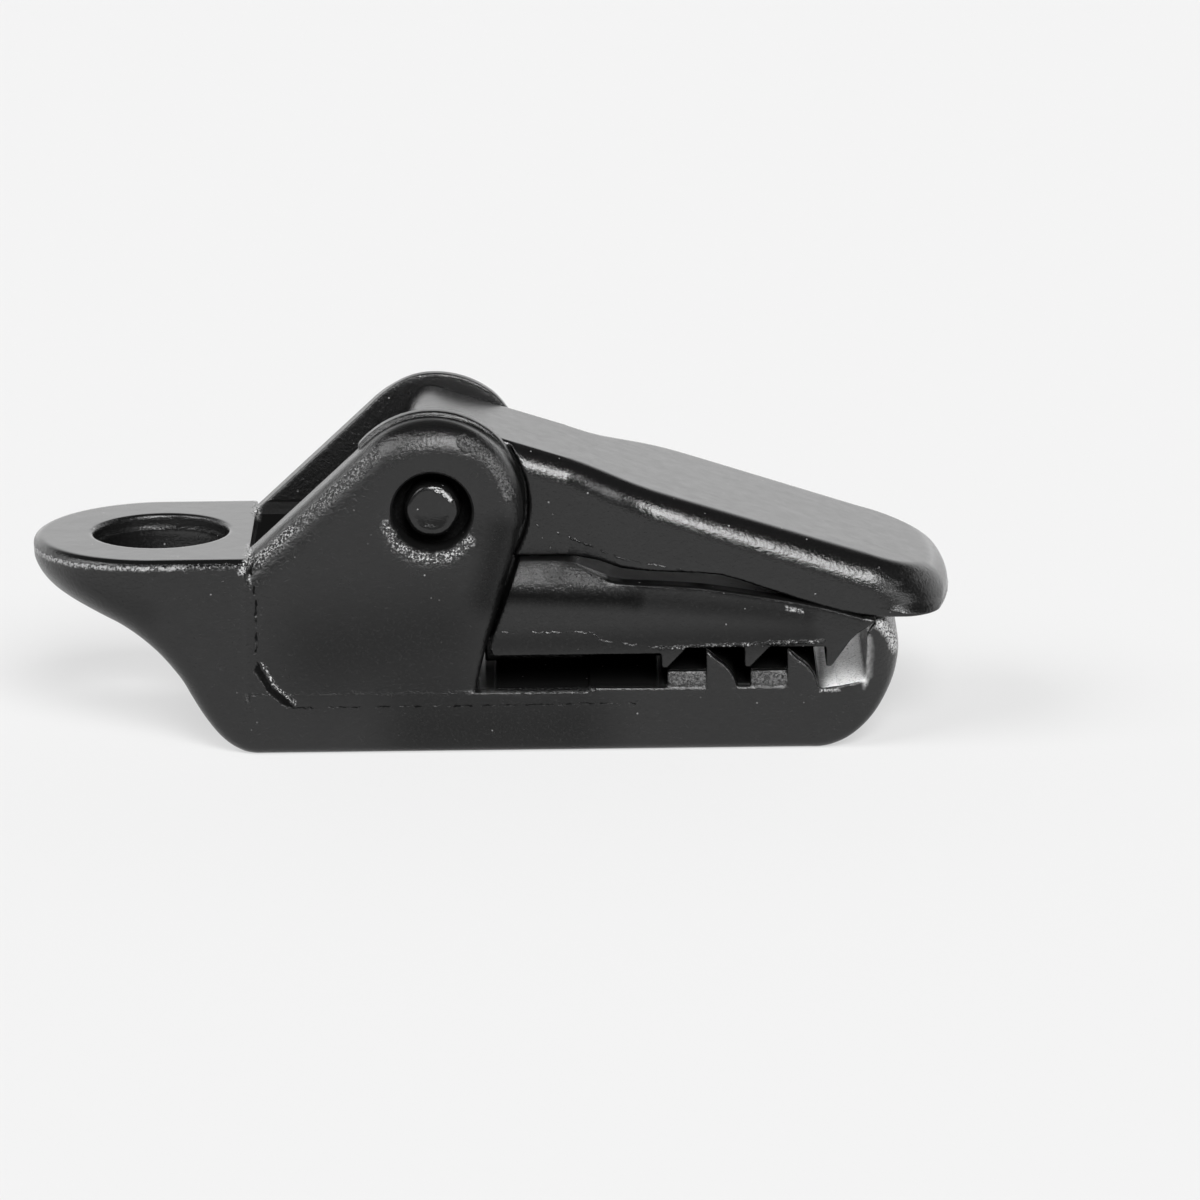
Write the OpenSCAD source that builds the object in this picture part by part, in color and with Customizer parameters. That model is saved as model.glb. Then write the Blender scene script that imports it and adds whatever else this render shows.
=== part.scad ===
// Moulded tarp clip: an eyelet body with two ears and a toothed lower jaw, a hinged upper jaw
// with matching teeth, and a cam lever that turns on a pin and presses the jaws together.
// X runs along the clip with the eyelet at -X, Y is the width and Z is up from the flat base.

/* [Overall] */
// Length from the eyelet's end to the lever's tip
total_l = 35; // [34:0.25:37]
// Width of the body and of both jaws
body_w = 9.8; // [9.4:0.1:11]
// Height of the eyelet's top face
plate_z = 7.6; // [7.4:0.1:8]

/* [Eyelet] */
// Diameter of the hole for the cord
eye_d = 5.16; // [4:0.1:6]
// Distance from the eyelet's end to the foot of the ears
lug_l = 8.43; // [8:0.1:8.8]
// Rounding of the eyelet's upper rim
rim_round = 0.35; // [0.1:0.05:0.5]
// Rounding of the eyelet's lower edge at its end
eye_round = 1.2; // [0.8:0.05:1.3]
// Rounding of the keel's lower edge
keel_round = 0.5; // [0.2:0.05:0.7]
// Chamfer at the mouth of the hole
eye_chamfer = 0.2; // [0.05:0.05:0.3]
// Length of the hole's straight wall
eye_wall = 2; // [1.5:0.1:2]
// Widening of the hole's radius from its straight wall down to the base
eye_relief = 0.45; // [0.2:0.05:0.6]

/* [Ears] */
// Distance from the eyelet's end to the pivot
pivot_off = 15.39; // [15:0.1:16]
// Height of the pivot
pivot_z = 9.35; // [9.2:0.05:9.8]
// Radius of the ear's round head
head_r = 3.44; // [3.2:0.02:3.6]
// Height of the raised inner edge round the head
brow_h = 0.21; // [0.1:0.01:0.3]
// Thickness of the raised inner edge
brow_t = 0.55; // [0.3:0.05:0.8]
// Thickness of one ear
ear_t = 2; // [1.7:0.05:2.1]
// Rounding of the ear's outer edge
ear_round = 1.2; // [0.6:0.05:1.4]
// Distance from the eyelet's end to the ear's front foot
foot_off = 17; // [16.6:0.1:17.4]
// Rounding at the ear's front foot
foot_round = 0.45; // [0.2:0.05:0.6]

/* [Pivot] */
// Diameter of the pin
pin_d = 2.1; // [1.8:0.05:2.3]
// Gap all round the pin in the ears
pin_seat = 0.02; // [0.01:0.01:0.04]
// Running gap all round the pin in the lever
pin_gap = 0.06; // [0.03:0.01:0.09]
// Depth of the pin's end below the ear's face
pin_sink = 0.5; // [0.2:0.05:0.8]
// Diameter of the recess round the pin's end
sink_d = 3.2; // [3:0.1:3.9]
// Depth of the recess round the pin's end
sink_depth = 1.15; // [0.9:0.05:1.3]
// Chamfer at the recess's mouth and on the pin's ends
sink_chamfer = 0.25; // [0.1:0.05:0.3]

/* [Lower jaw] */
// Distance by which the lever's tip stands out beyond the lower jaw
tip_over = 1.9; // [1.6:0.05:2.2]
// Height of the valley floor between the teeth
floor_z = 2.47; // [2.3:0.05:2.6]
// Height at which the closed jaws meet
bite_z = 3.96; // [3.8:0.02:4.05]
// Distance from one tooth to the next
pitch = 3.06; // [2.9:0.02:3.1]
// Number of teeth on each jaw
teeth = 3; // [2:1:3]
// Length of the lip in front of the last valley
lip_t = 1.32; // [1.1:0.02:1.5]
// Height of the lip
lip_z = 4.92; // [4.6:0.02:4.96]
// Radius of the teeth's round backs
tooth_r = 1.36; // [1.1:0.02:1.4]
// Corner radius of the jaw's front in plan
nose_r = 2; // [1:0.1:2.4]
// Height of the seam between keel and jaw
seam_z = 1.97; // [1.6:0.02:2.1]
// Height of the bevelled pads in the valleys
pad_h = 0.58; // [0.3:0.02:0.6]

/* [Upper jaw] */
// Height of the upper jaw's back under the lever
back_z = 7.25; // [7.15:0.01:7.3]
// Height of the upper jaw's arm above the base
arm_z = 3.76; // [3.5:0.02:3.85]
// Height of the upper teeth
fang_h = 0.72; // [0.5:0.02:0.76]
// Distance from the lip back to the foremost upper tooth
fang_off = 1.6; // [1.5:0.02:1.7]
// Depth of the dip in the upper jaw's back below the lever
lie_gap = 0.5; // [0.3:0.02:0.6]
// Thickness of the web that stiffens the upper jaw from below
web_t = 1.2; // [0.8:0.1:2]
// Gap under that web
web_gap = 0.12; // [0.08:0.02:0.3]
// Distance from the ears' foot to the hinge's axis
hinge_off = 1.77; // [1.6:0.02:2]
// Height of the hinge's axis
hinge_z = 6.1; // [5.9:0.05:6.3]
// Radius of the round root in its socket
root_r = 1.0; // [0.8:0.05:1.1]
// Running gap round the root
root_gap = 0.05; // [0.03:0.01:0.08]
// Gap between the ears and what moves between them
side_gap = 0.1; // [0.06:0.01:0.15]
// Gap between the ears' front edges and the upper jaw
front_gap = 0.24; // [0.22:0.02:0.4]
// Widening of that gap from the jaw's arm to its back
front_taper = 0.16; // [0.14:0.02:0.24]
// Degrees by which the upper jaw opens
jaw_open = 3.5; // [1:0.5:3.5]

/* [Lever] */
// Height of the lever's flat underside at the tip
tip_z = 5.03; // [5:0.01:5.1]
// Thickness of the lever at the tip
tip_t = 1.27; // [1.1:0.01:1.5]
// Distance from the pivot to the lever's top face
crown_h = 3.05; // [2.9:0.05:3.1]
// Distance from the pivot to the cam's foot when closed
cam_shut = 2.05; // [1.95:0.01:2.06]
// Distance of the neck's side inside the body's side
neck_in = 1.45; // [1.3:0.05:1.7]
// Distance of the paddle's side inside the body's side
paddle_in = 0.18; // [0.1:0.02:0.4]
// Rounding of the lever's upper edge
crown_round = 1.2; // [0.8:0.05:1.25]
// Rounding of the lever's upper edge at the tip
tip_round = 0.75; // [0.4:0.05:0.8]
// Rounding of the lever's lower edge
sole_round = 0.3; // [0.15:0.05:0.35]
// Corner radius of the lever's tip in plan
tip_corner = 1.8; // [1.4:0.05:2.4]
// Distance the tip's front edge curves back from its middle to its corners
tip_bulge = 0.75; // [0.4:0.05:0.9]

/* [Hidden] */

// Overrun for every cut
cut = 0.5;
// Step between the two mould halves along the seam
flash = 0.04;
// Clearance between faces that meet when closed
touch = 0.05;
// Depth of the ears' panels and of the jaws' sides inside the keel's side
panel_sink = 0.03;
// Degrees between the points of a curve
arc_step = 7.5;
// Sides of round holes and pins, and of the discs that shape the ears
fine_n = 96;
disc_n = 48;
foot_n = 32;
// Steps in a rounded edge
round_n = 5;
rim_n = 4;
// Steps in a curve
curve_n = 12;
cam_n = 14;
flare_n = 8;
front_n = 4;
// Degrees in a quarter turn
quarter = 90;
// Radius of the heel that ends the keel in front, and the least height of the keel over it
front_rise = 3.1;
front_web = 0.5;
// Distance the lower jaw's profile reaches down into the keel
jaw_sink = 0.5;

x_tail = -total_l / 2;
x_tip = total_l / 2;
x_root = x_tail + lug_l;
x_pivot = x_tail + pivot_off;
x_foot = x_tail + foot_off;
x_jaw = x_tip - tip_over;
x_lip = x_jaw - lip_t;
x_hinge = x_root + hinge_off;
half_w = body_w / 2;
x_eye = x_tail + half_w;
ear_in = half_w - ear_t;
ear_face = half_w - panel_sink;
jaw_w = ear_face - panel_sink;
rim_r = head_r + brow_h;
pin_r = pin_d / 2;
eye_r = eye_d / 2;
sink_r = sink_d / 2;

// The keel's underside: an S-curve below the eyelet and a round heel, as shares of the eyelet's
// length and height
under_shares = [[0, 0.776], [0.344, 0.724], [0.569, 0.618], [0.79, 0.19]];
heel_shares = [[0.79, 0.19], [0.857, 0.07], [0.918, 0], [1.02, 0]];
function curve(p, t) = pow(1 - t, 3) * p[0] + 3 * t * pow(1 - t, 2) * p[1]
    + 3 * t * t * (1 - t) * p[2] + t * t * t * p[3];
function sized(shares) = [for (s = shares) [x_tail + s[0] * lug_l, s[1] * plate_z]];
under_points = [
    for (i = [0:curve_n]) curve(sized(under_shares), i / curve_n),
    for (i = [1:curve_n]) curve(sized(heel_shares), i / curve_n)
];
x_heel = under_points[2 * curve_n][0];
x_rise = x_jaw - front_rise;
function front_z(x) = x < x_rise ? 0
    : front_rise - sqrt(max(0, pow(front_rise, 2) - pow(x - x_rise, 2)));
function keel_bottom(x) = max(lookup(x, under_points), front_z(x));
function keel_top(x) = x <= x_root ? plate_z : max(seam_z, front_z(x) + front_web);

// The lever's top face leans from its crown over the pivot down to the tip
tip_top = tip_z + tip_t;
reach = norm([x_tip - x_pivot, pivot_z - tip_top]);
rake = atan2(pivot_z - tip_top, x_tip - x_pivot) + asin(crown_h / reach);
function crown_z(x) = tip_top + (x_tip - x) * tan(rake);
// Degrees by which the lever lifts until its rear face rests on the upper jaw
lever_open = quarter + rake;
// Distance from the pivot to the upper jaw's back when both are open
back_h = back_z - hinge_z;
back_open = (pivot_z - hinge_z) * cos(jaw_open) - (x_pivot - x_hinge) * sin(jaw_open) - back_h;
cam_open = back_open - touch;
// The cam's distance from the pivot falls evenly with the angle, so its face is a spiral
cam_fall = (cam_shut - cam_open) / lever_open;
cam_turn = -cam_fall * 180 / PI;
function cam_point(b) = [x_pivot, pivot_z]
    + (cam_shut - cam_fall * b) * [-sin(b), -cos(b)] + cam_turn * [-cos(b), sin(b)];

function ring_arc(c, r, a0, a1) = [
    for (i = [0:ceil(abs(a1 - a0) / arc_step)])
        let (a = a0 + (a1 - a0) * i / ceil(abs(a1 - a0) / arc_step))
        c + r * [cos(a), sin(a)]
];

// A solid from half an outline in plan, mirrored in Y, between a top and a bottom that depend
// on x alone, with its upper and lower edges rounded all the way round
function is_axis(p) = p[1] < flash / 100;
function ahead(h, i) = i == 0 ? (is_axis(h[0]) ? [0, 1] : h[1] - h[0])
    : i == len(h) - 1 ? (is_axis(h[i]) ? [0, -1] : h[i] - h[i - 1])
    : h[i + 1] - h[i - 1];
function inward(h, i) = let (d = ahead(h, i)) [d[1], -d[0]] / norm(d);
function inset(h, r) = [for (i = [0:len(h) - 1]) h[i] + r(h[i][0]) * inward(h, i)];
function full_ring(h, z) = [
    for (p = h) [p[0], p[1], z(p[0])],
    for (i = [len(h) - 1:-1:0]) if (!is_axis(h[i])) [h[i][0], -h[i][1], z(h[i][0])]
];
module slab(half, top, bottom, r_top, r_bottom) {
    n = len(half);
    z0 = is_axis(half[0]) ? 1 : 0;
    z1 = is_axis(half[n - 1]) ? 1 : 0;
    m = 2 * n - z0 - z1;
    rings = [
        for (k = [0:round_n])
            let (a = 90 * k / round_n)
            full_ring(inset(half, function(x) r_top(x) * (1 - sin(a))),
                function(x) top(x) - r_top(x) * (1 - cos(a))),
        for (k = [round_n:-1:0])
            let (a = 90 * k / round_n)
            full_ring(inset(half, function(x) r_bottom(x) * (1 - sin(a))),
                function(x) bottom(x) + r_bottom(x) * (1 - cos(a)))
    ];
    last = len(rings) - 1;
    function twin(i) = i < z0 || i > n - 1 - z1 ? i : 2 * n - 1 - z1 - i;
    function cap(base) = [
        for (i = [0:n - 2]) each concat(
            twin(i + 1) == i + 1 ? [] : [[base + i, base + i + 1, base + twin(i + 1)]],
            twin(i) == i ? [] : [[base + i, base + twin(i + 1), base + twin(i)]])
    ];
    polyhedron(
        points = [for (r = rings) each r],
        faces = [
            for (j = [0:last - 1]) for (i = [0:m - 1]) each [
                [j * m + i, (j + 1) * m + i, (j + 1) * m + (i + 1) % m],
                [j * m + i, (j + 1) * m + (i + 1) % m, j * m + (i + 1) % m]],
            each cap(0),
            for (f = cap(last * m)) [f[2], f[1], f[0]]
        ]);
}

// Solid of a side view, given as points in X and Z, centred on the middle plane
module across(w) {
    translate([0, w / 2, 0]) rotate([90, 0, 0]) linear_extrude(w) children();
}

// Cylinder along Y about a point of the side view
module spindle(x, z, r, y0, y1) {
    translate([x, y1, z]) rotate([90, 0, 0]) cylinder(r = r, h = y1 - y0, $fn = fine_n);
}

// Disc with its outer rim rounded, lying against the ear's inner plane
module soft_disc(x, z, r, round, n) {
    t = ear_face - ear_in;
    translate([x, ear_in, z]) rotate([-90, 0, 0]) rotate_extrude($fn = n)
        polygon(concat([[0, 0], [r, 0]],
            [for (i = [0:rim_n]) let (a = 90 * i / rim_n)
                [r - round + round * cos(a), t - round + round * sin(a)]],
            [[0, t]]));
}

// The slanted edge touches the head, so its direction follows from the foot and the head
foot_far = norm([x_pivot - x_root, pivot_z - plate_z]);
slant = atan2(pivot_z - plate_z, x_pivot - x_root) + asin(head_r / foot_far);
// The front edge runs from the foot to a touching point on the head
front_far = norm([x_pivot - x_foot, pivot_z - floor_z]);
front_lean = asin(head_r / front_far) - atan2(x_foot - x_pivot, pivot_z - floor_z);
function front_x(z) = x_foot + (z - floor_z) * tan(front_lean);

module ear() {
    hull() {
        soft_disc(x_pivot, pivot_z, head_r, ear_round, disc_n);
        soft_disc(x_root + ear_round * sin(slant), plate_z - ear_round * cos(slant),
            ear_round, ear_round, foot_n);
        translate([x_root, ear_in, seam_z - foot_round])
            cube([foot_round, ear_face - ear_in, foot_round]);
        soft_disc(x_foot - foot_round, floor_z - foot_round, foot_round, foot_round, foot_n);
    }
    spindle(x_pivot, pivot_z, rim_r, ear_in, ear_in + brow_t);
}

// Half outline of the keel in plan: the eyelet's round end and the jaw's rounded front
nose_c = [x_jaw - nose_r, half_w - nose_r];
keel_outline = concat(
    ring_arc([x_eye, 0], half_w, 180, 90),
    [for (i = [1:rim_n]) [x_eye + (x_root - x_eye) * i / rim_n, half_w]],
    [[x_root + touch, half_w], [x_heel, half_w], [x_rise, half_w]],
    ring_arc(nose_c, nose_r, 90, 0)
);

// One lower tooth: upright towards the ears and round towards the mouth
tooth_lean = 0.22;
tooth_tip = 0.25;
tooth_drop = 0.17;
tooth_from = 60;
tooth_to = 8;
tooth_z = bite_z - touch;
function tooth(x) = concat(
    [[x, floor_z], [x, tooth_z], [x + tooth_tip, tooth_z - tooth_tip]],
    ring_arc([x - tooth_lean, floor_z - tooth_drop], tooth_r, tooth_from, tooth_to)
);
// Lip: an upright face with a lead-in at its top, round outside
lip_lean = 0.38;
lip_top = 0.25;
lip_ramp = 0.76;
// Depth of the lower floor in front of the ears, and the share of the way to the teeth it takes
low_h = 0.1;
low_share = 0.49;
x_first = x_lip - (teeth - 1) * pitch;
x_low = x_foot + low_share * (x_first - x_foot);
jaw_profile = concat(
    [[x_root, seam_z - jaw_sink], [x_root, floor_z - low_h], [x_low, floor_z - low_h], [x_low, floor_z]],
    [for (k = [teeth - 1:-1:1]) each tooth(x_lip - k * pitch)],
    [[x_lip - lip_ramp, floor_z], [x_lip, floor_z + lip_top], [x_lip, bite_z + lip_top],
     [x_lip + lip_lean, lip_z], [x_lip + lip_lean + lip_top, lip_z - lip_top / 2],
     [x_jaw - lip_top / 2, bite_z], [x_jaw, front_rise], [x_jaw - lip_top, seam_z],
     [x_jaw - lip_t, seam_z - jaw_sink]]
);

// Low pad with bevelled ends that fills the valley behind a lower tooth
module pad(x0, x1) {
    y0 = half_w - touch;
    translate([x0, 0, floor_z - touch]) rotate([90, 0, 90]) linear_extrude(x1 - x0)
        polygon([[-y0, 0], [y0, 0], [y0 - pad_h, pad_h + touch], [pad_h - y0, pad_h + touch]]);
}

// Round socket for the upper jaw's root, in a block between the ears. Its points are shares of
// the root's radius from the hinge
block_shares = [[0, 1.38], [0.68, 1], [1, -1.75], [1.75, -4]];
mouth_shares = [[0, 0], [3, 2.9], [3, -3.7]];
function at_hinge(shares) = [for (s = shares) [x_hinge, hinge_z] + root_r * s];
module socket_block() {
    bottom = seam_z - jaw_sink;
    across(2 * ear_in + ear_t) intersection() {
        polygon(concat([[x_root - touch, 0], [x_root - touch, hinge_z + root_r * block_shares[0][1]]],
            at_hinge(block_shares), [[x_hinge, 0]]));
        translate([x_root - touch, bottom]) square([foot_off, plate_z]);
    }
}

module body() {
    color([0.06, 0.06, 0.065]) difference() {
        union() {
            slab(keel_outline, function(x) keel_top(x), function(x) keel_bottom(x),
                function(x) x < x_root ? rim_round : flash,
                function(x) lookup(x, [[x_eye, eye_round], [x_root, keel_round],
                    [x_rise, keel_round], [x_jaw, 2 * flash]]));
            intersection() {
                across(2 * jaw_w) polygon(jaw_profile);
                linear_extrude(plate_z) polygon(concat(
                    [[x_root, half_w]],
                    ring_arc(nose_c, nose_r - flash / 2, 90, 0),
                    ring_arc([nose_c[0], -nose_c[1]], nose_r - flash / 2, 0, -90),
                    [[x_root, -half_w]]));
            }
            for (k = [teeth - 1:-1:1])
                pad(x_lip - k * pitch - pitch / 2 + tooth_lean, x_lip - k * pitch);
            ear();
            mirror([0, 1, 0]) ear();
            socket_block();
        }
        wall_z = plate_z - eye_chamfer - eye_wall;
        translate([x_eye, 0, -cut])
            cylinder(r1 = eye_r + eye_relief, r2 = eye_r + flash, h = wall_z + cut, $fn = fine_n);
        translate([x_eye, 0, -cut]) cylinder(r = eye_r, h = plate_z + 2 * cut, $fn = fine_n);
        translate([x_eye, 0, plate_z - eye_chamfer])
            cylinder(r1 = eye_r, r2 = eye_r + 2 * eye_chamfer, h = 2 * eye_chamfer, $fn = fine_n);
        spindle(x_pivot, pivot_z, pin_r + pin_seat, -half_w - cut, half_w + cut);
        for (s = [0, 1]) mirror([0, s, 0]) {
            spindle(x_pivot, pivot_z, sink_r, half_w - sink_depth, half_w + cut);
            translate([x_pivot, half_w - sink_chamfer, pivot_z]) rotate([-90, 0, 0])
                cylinder(r1 = sink_r, r2 = sink_r + 2 * sink_chamfer, h = 2 * sink_chamfer, $fn = fine_n);
        }
        spindle(x_hinge, hinge_z, root_r + root_gap, -ear_in, ear_in);
        across(2 * ear_in) polygon(at_hinge(mouth_shares));
    }
}

// The lever's underside, as shares of its length from the pivot and of the drop to its tip
sole_shares = [[0.276, 0], [0.36, 0.145], [0.5135, 0.203], [0.59, 0.33], [0.744, 0.806],
               [0.8165, 0.96], [0.86, 0.99], [1, 1]];
foot_z = pivot_z - cam_shut;
lever_l = x_tip - x_pivot;
function along(share) = x_pivot + share * lever_l;
sole_points = [for (s = sole_shares) [along(s[0]), foot_z - s[1] * (foot_z - tip_z)]];
function sole_z(x) = lookup(x, sole_points);

// The upper jaw: a wide toothed plate in front of the ears, an arm between them and a round root.
// Its back follows the lever's underside with a gap, in shares of the deepest gap
gap_shares = [[0.25, 0.1], [0.34, 0.84], [0.5135, 1], [0.59, 0.8], [0.68, 0.18], [1, 0.12]];
function back_top(x) = min(back_z,
    sole_z(x) - lie_gap * lookup(x, [for (s = gap_shares) [along(s[0]), s[1]]]));
arm_w = ear_in - side_gap;
jaw_shares = [0, 0.06, 0.12, 0.16, 0.2, 0.25, 0.3, 0.4, 0.51, 0.6, 0.68, 0.77, 0.86, 0.93, 1];
// Height of the plate's underside over the meeting line, and of the nose's upturned end
chin_h = 0.3;
nose_h = 0.7;
nose_l = 1.9;
// The nose ends beside the lip's lead-in
x_nose = x_lip + lip_lean * (nose_h - lip_top) / (lip_z - bite_z - lip_top) - 2 * touch;
x_wide = front_x(back_z) + front_gap + front_taper;
jaw_l = x_nose - x_wide;
function back_bottom(x) = bite_z + chin_h + (nose_h - chin_h) * max(0, 1 - (x_nose - x) / nose_l);
// Rounding of the back's edges, from the ears to the nose
back_shares = [[0, 0.9], [0.12, 0.9], [0.3, 0.35], [0.93, 0.15], [1, 0.08]];
cheek_drop = 0.9;
fang_tip = 0.22;
fang_root = 0.98;
function fang(k) = let (x = x_lip - fang_off - k * pitch) [
    [x + fang_root, bite_z], [x + fang_tip, bite_z - fang_h], [x, bite_z - fang_h],
    [x, k == teeth - 1 ? arm_z : bite_z]];
// Web on the middle plane: one part below the arm, one in each valley behind an upper tooth
web_lead = 0.2;
module web_part(x0, x1, z0, z1) {
    translate([x0, z0]) square([x1 - x0, z1 - z0]);
}
module web() {
    x_back = x_lip - fang_off;
    web_part(x_foot + front_gap, x_back - (teeth - 1) * pitch + touch, floor_z + web_gap, arm_z + touch);
    for (k = [teeth - 1:-1:1])
        web_part(x_back - k * pitch + touch, x_lip - k * pitch - web_lead,
            floor_z + pad_h + web_gap, bite_z + touch);
}
// The arm's outline near the hinge, as shares of the root's radius
arm_shares = [[3.2, -2.34], [0.8, -0.85], [0, -0.5], [0, 0.9], [0.75, 0.6], [2.2, 1.15]];
module upper_jaw() {
    x_arm = x_wide + 2 * front_gap;
    color([0.07, 0.07, 0.075]) union() {
        slab([for (s = jaw_shares) [x_wide + s * jaw_l, half_w - flash / 2]],
            function(x) back_top(x), function(x) back_bottom(x),
            function(x) lookup((x - x_wide) / jaw_l, back_shares), function(x) flash);
        across(2 * jaw_w) polygon(concat(
            [[front_x(arm_z) + front_gap, arm_z], [x_wide + touch, back_z - cheek_drop],
             [x_nose - pitch, bite_z + chin_h + 2 * touch], [x_nose - nose_l, bite_z + chin_h + touch]],
            [for (k = [0:teeth - 1]) each fang(k)]));
        across(web_t) web();
        across(2 * arm_w) intersection() {
            polygon(concat([[x_arm, plate_z], [x_arm, 0], [x_hinge + root_r * arm_shares[0][0], 0]],
                at_hinge(arm_shares), [[x_hinge + root_r * arm_shares[5][0], plate_z]]));
            translate([x_hinge, arm_z]) square([x_arm - x_hinge, back_z - arm_z]);
        }
        spindle(x_hinge, hinge_z, root_r, -arm_w, arm_w);
    }
}

// The lever: a cam hub between the ears and a flared paddle that lies over the upper jaw
neck_w = half_w - neck_in;
paddle_w = half_w - paddle_in;
// Length of the neck in front of the ears and of the flare after it
neck_l = 1.75;
flare_l = 3.2;
// Rounding of the hub's rear top corner, and its overlap with the neck
rear_round = 1.35;
hub_lap = 0.4;
x_shoulder = x_pivot + rim_r / 2;
x_flare = x_pivot + rim_r + neck_l;
x_lap = x_flare - hub_lap;
function front_at(y) = x_tip - tip_bulge * pow(y / paddle_w, 2);
corner_y = paddle_w - tip_corner;
front_dir = atan2(2 * tip_bulge * corner_y / paddle_w, paddle_w);
front_y = corner_y + tip_corner * sin(front_dir);
tip_c = [front_at(front_y) - tip_corner * cos(front_dir), corner_y];
function ease(t) = t * t * (3 - 2 * t);
function lever_w(x) = neck_w + (paddle_w - neck_w) * ease(max(0, min(1, (x - x_flare) / flare_l)));
x_belly = max(x_flare + flare_l, along(sole_shares[2][0]));
lever_outline = concat(
    [[x_shoulder, neck_w]],
    [for (i = [0:flare_n]) let (x = x_flare + flare_l * i / flare_n) [x, lever_w(x)]],
    [for (s = sole_shares) let (x = along(s[0])) if (x > x_belly + touch && x < tip_c[0] - touch)
        [x, paddle_w]],
    ring_arc(tip_c, tip_corner, quarter, front_dir),
    [for (i = [front_n - 1:-1:0]) let (y = front_y * i / front_n) [front_at(y), y]]
);
function crown_r(x) = lookup(x, [[x_tip - paddle_w, crown_round], [x_tip, tip_round]]);
rear_c = [x_pivot, pivot_z] + (cam_open - rear_round) * [-cos(rake), sin(rake)]
    + (crown_h - rear_round) * [sin(rake), cos(rake)];
hub_profile = concat(
    [for (i = [0:cam_n]) cam_point(lever_open * i / cam_n)],
    ring_arc(rear_c, rear_round, 2 * quarter - rake, quarter - rake),
    [[x_lap, crown_z(x_lap) - touch], [x_lap, foot_z]]
);
module cam_lever() {
    color([0.08, 0.08, 0.085]) difference() {
        union() {
            slab(lever_outline, function(x) crown_z(x), function(x) sole_z(x),
                function(x) crown_r(x), function(x) sole_round);
            across(2 * arm_w) polygon(hub_profile);
        }
        for (s = [0, 1]) mirror([0, s, 0])
            spindle(x_pivot, pivot_z, rim_r + side_gap, arm_w, half_w + cut);
        spindle(x_pivot, pivot_z, pin_r + pin_gap, -half_w, half_w);
    }
}

module pivot_pin() {
    y_end = half_w - pin_sink;
    y_bevel = y_end - sink_chamfer;
    color([0.05, 0.05, 0.055]) union() {
        spindle(x_pivot, pivot_z, pin_r, -y_bevel, y_bevel);
        for (s = [0, 1]) mirror([0, s, 0])
            translate([x_pivot, y_bevel, pivot_z]) rotate([-90, 0, 0])
                cylinder(r1 = pin_r, r2 = pin_r - sink_chamfer, h = sink_chamfer, $fn = fine_n);
    }
}

body();
upper_jaw();
cam_lever();
pivot_pin();
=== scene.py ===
"""Looks of the tarp clip: pieces meshed from distance fields, moulded black plastic, studio light.

Outlines and fields are in mm in the part's own frame: x runs to the lever's tip, y across the clip, and the
base stands on z = 0. MM turns them to metres where a mesh is made.
"""

import math

import bpy
import numpy as np
from mathutils import Matrix, Vector


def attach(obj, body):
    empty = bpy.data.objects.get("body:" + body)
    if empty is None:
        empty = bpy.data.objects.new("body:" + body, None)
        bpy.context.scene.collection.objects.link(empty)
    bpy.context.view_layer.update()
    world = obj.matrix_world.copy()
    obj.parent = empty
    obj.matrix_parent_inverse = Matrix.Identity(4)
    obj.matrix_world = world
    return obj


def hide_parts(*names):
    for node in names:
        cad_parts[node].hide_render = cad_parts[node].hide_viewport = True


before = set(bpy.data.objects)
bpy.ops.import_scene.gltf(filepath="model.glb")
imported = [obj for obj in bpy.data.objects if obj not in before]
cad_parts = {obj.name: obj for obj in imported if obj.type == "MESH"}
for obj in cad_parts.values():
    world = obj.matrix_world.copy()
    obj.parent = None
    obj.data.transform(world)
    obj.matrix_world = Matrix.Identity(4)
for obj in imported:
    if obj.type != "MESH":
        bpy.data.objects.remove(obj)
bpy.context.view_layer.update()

MM = 0.001
STEP = 0.085  # grid spacing, mm

# ---------------------------------------------------------------- sizes, mm
X_TAIL, X_LIP, X_TIP = -17.5, 15.62, 17.5  # ends of the lug, of the lip and of the lever
HALF = 4.9  # half the clip's width
X_ROOT, PLATE_Z = -9.07, 7.6  # lug: where it meets the ears, its top
X_EYE, EYE_R = -12.6, 2.58  # eyelet
MOUTH_Z = 2.47  # mouth floor between the jaws
LOWER_TEETH = (8.18, 11.24)  # upright faces
PAD_STARTS = (6.7, 9.85)  # bevelled pads, each up to the tooth in front of it

PX, PZ = -2.11, 9.35  # lever's pivot
PIN_R, PIN_END = 1.05, 4.4
RECESS_R = 1.5  # round the pin's end
EAR_IN, EAR_OUT = 2.9, 4.9
EAR_BACK, EAR_LOW = -9.9, 1.2  # ends of the ear's outline, inside the base
HEAD_R = 3.44
SLANT = math.radians(42.6)  # ear's sloping rear edge
BROW_R, BROW_T = 3.62, 0.55  # raised brow round the hub
BROW_FROM, BROW_TO = -14, 141  # degrees round the pivot
DEGREE, BROW_ARM = 0.0174, 3.6  # turns an angle past the brow's end into mm

HX, HZ, ROOT_R = -7.3, 6.1, 1.0  # upper jaw's root
UPPER_TEETH = (6.48, 9.62, 12.7)
JAW_LOW, TOOTH_LOW = 3.76, 3.22  # tongue's underside and its teeth's points
FRONT_RAKE = math.radians(15.96)  # ear's front edge, which the tongue's rear follows
ARM_HALF = 2.8  # tongue's arm and root, and the lever's hub, between the ears

RAKE_DEG, SWING_DEG = 17.681, 107.681  # closed lever's slope, and its turn to upright
RAKE = math.radians(RAKE_DEG)
TIP_Z = 6.3  # height of the lever's top plane at its tip
CROWN_H, CROWN_R = 3.05, 0.9  # hub's top over the pivot, and the round of its rear corner
CAM_SHUT, CAM_OPEN = 2.05, 1.727  # cam's reach under the pivot


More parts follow.
